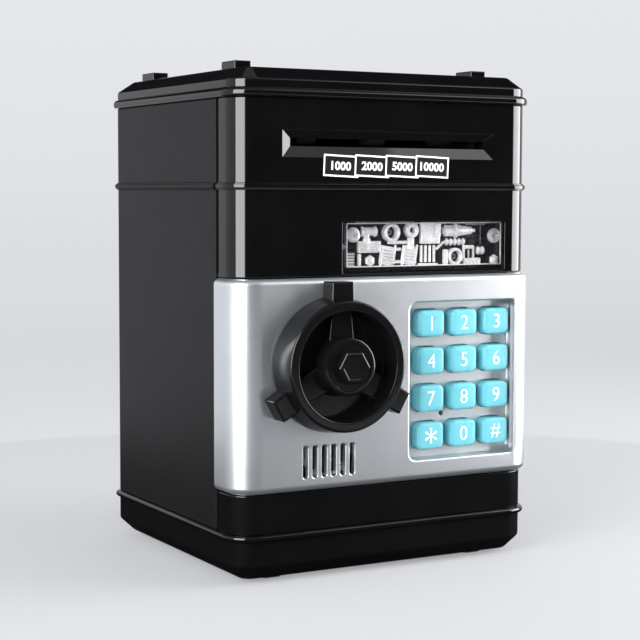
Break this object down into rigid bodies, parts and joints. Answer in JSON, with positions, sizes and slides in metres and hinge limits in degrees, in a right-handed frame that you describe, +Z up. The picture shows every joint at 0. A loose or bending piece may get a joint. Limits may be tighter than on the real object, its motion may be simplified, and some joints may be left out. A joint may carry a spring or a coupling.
{
  "type": "toy cash machine savings bank",
  "caption": "Lidded black savings box with a silver wrap-round safe door, keypad, three-lug latch knob, note slot and coin slot, and a note feeder behind a clear window.",
  "frame": {"origin": "on the floor under the middle of the whole object, feet at Z = 0", "axes": "+X to the right seen from the front, the front faces -Y, +Z up"},
  "size_m": [0.1324, 0.1334, 0.1909],
  "materials": {
    "gloss_black": "polished black ABS",
    "matte_black": "fine satin texture",
    "inner_black": "matte moulded ABS",
    "silver_paint": "satin metallic silver paint over ABS",
    "teal_key": "satin gloss, white numerals",
    "knob_black": "semi-gloss black ABS",
    "clear_window": "clear acrylic",
    "silver_relief": "vacuum-plated relief",
    "white_print": "printed label",
    "steel": "zinc plated",
    "brass": "machined",
    "ivory_gear": "natural acetal",
    "roller_rubber": "matte rubber",
    "silicone": "translucent silicone",
    "circuit_board": "solder mask",
    "wire_red": "PVC insulation",
    "cell_wrap": "shrink sleeve",
    "paper_cone": "pressed paper",
    "led_green": "clear epoxy"
  },
  "bodies": {
    "case": {"front_shell": "gloss_black", "rear_shell": "matte_black", "top_lid": "gloss_black", "base_tray": "gloss_black", "chamber_floor": "inner_black", "mechanism_cover": "inner_black", "battery_cover": "matte_black", "battery_cover_screw": "steel", "aa_cells": "cell_wrap", "battery_contacts": "steel", "battery_lead": "wire_red", "window_lens": "clear_window", "mechanism_plate": "silver_relief", "plate_screws": "steel", "note_tags": "white_print", "case_screws": "steel", "hinge_pins": "steel", "feeder_frame": "inner_black", "feed_motor": "steel", "gear_axle": "steel", "note_sensor": "circuit_board", "main_board": "circuit_board"},
    "door": {"door_panel": "silver_paint", "door_inner_cover": "inner_black", "keypad_board": "circuit_board", "key_dome_mat": "silicone", "speaker_basket": "steel", "speaker_cone": "paper_cone", "status_led": "led_green", "door_lead": "wire_red", "lock_solenoid": "steel", "knob_bushing": "inner_black", "door_screws": "steel"},
    "knob": {"knob": "knob_black", "knob_cap": "knob_black", "knob_spindle": "steel", "lock_disc": "ivory_gear", "latch_arm": "ivory_gear", "latch_nut": "steel"},
    "lock_pin": {"lock_pin": "steel"},
    "key_1": {"key_1": "teal_key"},
    "key_2": {"key_2": "teal_key"},
    "key_3": {"key_3": "teal_key"},
    "key_4": {"key_4": "teal_key"},
    "key_5": {"key_5": "teal_key"},
    "key_6": {"key_6": "teal_key"},
    "key_7": {"key_7": "teal_key"},
    "key_8": {"key_8": "teal_key"},
    "key_9": {"key_9": "teal_key"},
    "key_star": {"key_star": "teal_key"},
    "key_0": {"key_0": "teal_key"},
    "key_hash": {"key_hash": "teal_key"},
    "drive": {"drive_shaft": "steel", "drive_rollers": "roller_rubber", "drive_gear": "ivory_gear"},
    "compound": {"compound_gear": "ivory_gear"},
    "pinion": {"motor_pinion": "brass"},
    "pinch": {"pinch_shaft": "steel", "pinch_rollers": "roller_rubber"}
  },
  "joints": [
    {"name": "door_hinge", "type": "hinge", "parent": "case", "child": "door", "pos_m": [0.0629, -0.0338, 0.073], "axis": [0, 0, 1], "range_deg": [0, 95]},
    {"name": "knob_turn", "type": "hinge", "parent": "door", "child": "knob", "pos_m": [-0.0265, -0.05, 0.08], "axis": [0, 1, 0], "range_deg": [0, 90]},
    {"name": "lock_pin_slide", "type": "slide", "parent": "door", "child": "lock_pin", "axis": [-1, 0, 0], "range_m": [0, 0.003]},
    {"name": "key_1_press", "type": "slide", "parent": "door", "child": "key_1", "axis": [0, 1, 0], "range_m": [0, 0.0012], "stiffness_N_per_m": 600},
    {"name": "key_2_press", "type": "slide", "parent": "door", "child": "key_2", "axis": [0, 1, 0], "range_m": [0, 0.0012], "stiffness_N_per_m": 600},
    {"name": "key_3_press", "type": "slide", "parent": "door", "child": "key_3", "axis": [0, 1, 0], "range_m": [0, 0.0012], "stiffness_N_per_m": 600},
    {"name": "key_4_press", "type": "slide", "parent": "door", "child": "key_4", "axis": [0, 1, 0], "range_m": [0, 0.0012], "stiffness_N_per_m": 600},
    {"name": "key_5_press", "type": "slide", "parent": "door", "child": "key_5", "axis": [0, 1, 0], "range_m": [0, 0.0012], "stiffness_N_per_m": 600},
    {"name": "key_6_press", "type": "slide", "parent": "door", "child": "key_6", "axis": [0, 1, 0], "range_m": [0, 0.0012], "stiffness_N_per_m": 600},
    {"name": "key_7_press", "type": "slide", "parent": "door", "child": "key_7", "axis": [0, 1, 0], "range_m": [0, 0.0012], "stiffness_N_per_m": 600},
    {"name": "key_8_press", "type": "slide", "parent": "door", "child": "key_8", "axis": [0, 1, 0], "range_m": [0, 0.0012], "stiffness_N_per_m": 600},
    {"name": "key_9_press", "type": "slide", "parent": "door", "child": "key_9", "axis": [0, 1, 0], "range_m": [0, 0.0012], "stiffness_N_per_m": 600},
    {"name": "key_star_press", "type": "slide", "parent": "door", "child": "key_star", "axis": [0, 1, 0], "range_m": [0, 0.0012], "stiffness_N_per_m": 600},
    {"name": "key_0_press", "type": "slide", "parent": "door", "child": "key_0", "axis": [0, 1, 0], "range_m": [0, 0.0012], "stiffness_N_per_m": 600},
    {"name": "key_hash_press", "type": "slide", "parent": "door", "child": "key_hash", "axis": [0, 1, 0], "range_m": [0, 0.0012], "stiffness_N_per_m": 600},
    {"name": "drive_spin", "type": "hinge", "parent": "case", "child": "drive", "pos_m": [0, -0.033, 0.1542], "axis": [1, 0, 0], "continuous": true},
    {"name": "compound_spin", "type": "hinge", "parent": "case", "child": "compound", "pos_m": [0.053, -0.02497, 0.14697], "axis": [1, 0, 0], "continuous": true},
    {"name": "pinion_spin", "type": "hinge", "parent": "case", "child": "pinion", "pos_m": [0.053, -0.01316, 0.14489], "axis": [1, 0, 0], "continuous": true},
    {"name": "pinch_spin", "type": "hinge", "parent": "case", "child": "pinch", "pos_m": [0, -0.033, 0.1646], "axis": [1, 0, 0], "continuous": true}
  ],
  "couplings": [
    {"joint": "compound_spin", "follows": "drive_spin", "ratio": -2},
    {"joint": "pinion_spin", "follows": "drive_spin", "ratio": 6},
    {"joint": "pinch_spin", "follows": "drive_spin", "ratio": -1.5}
  ]
}
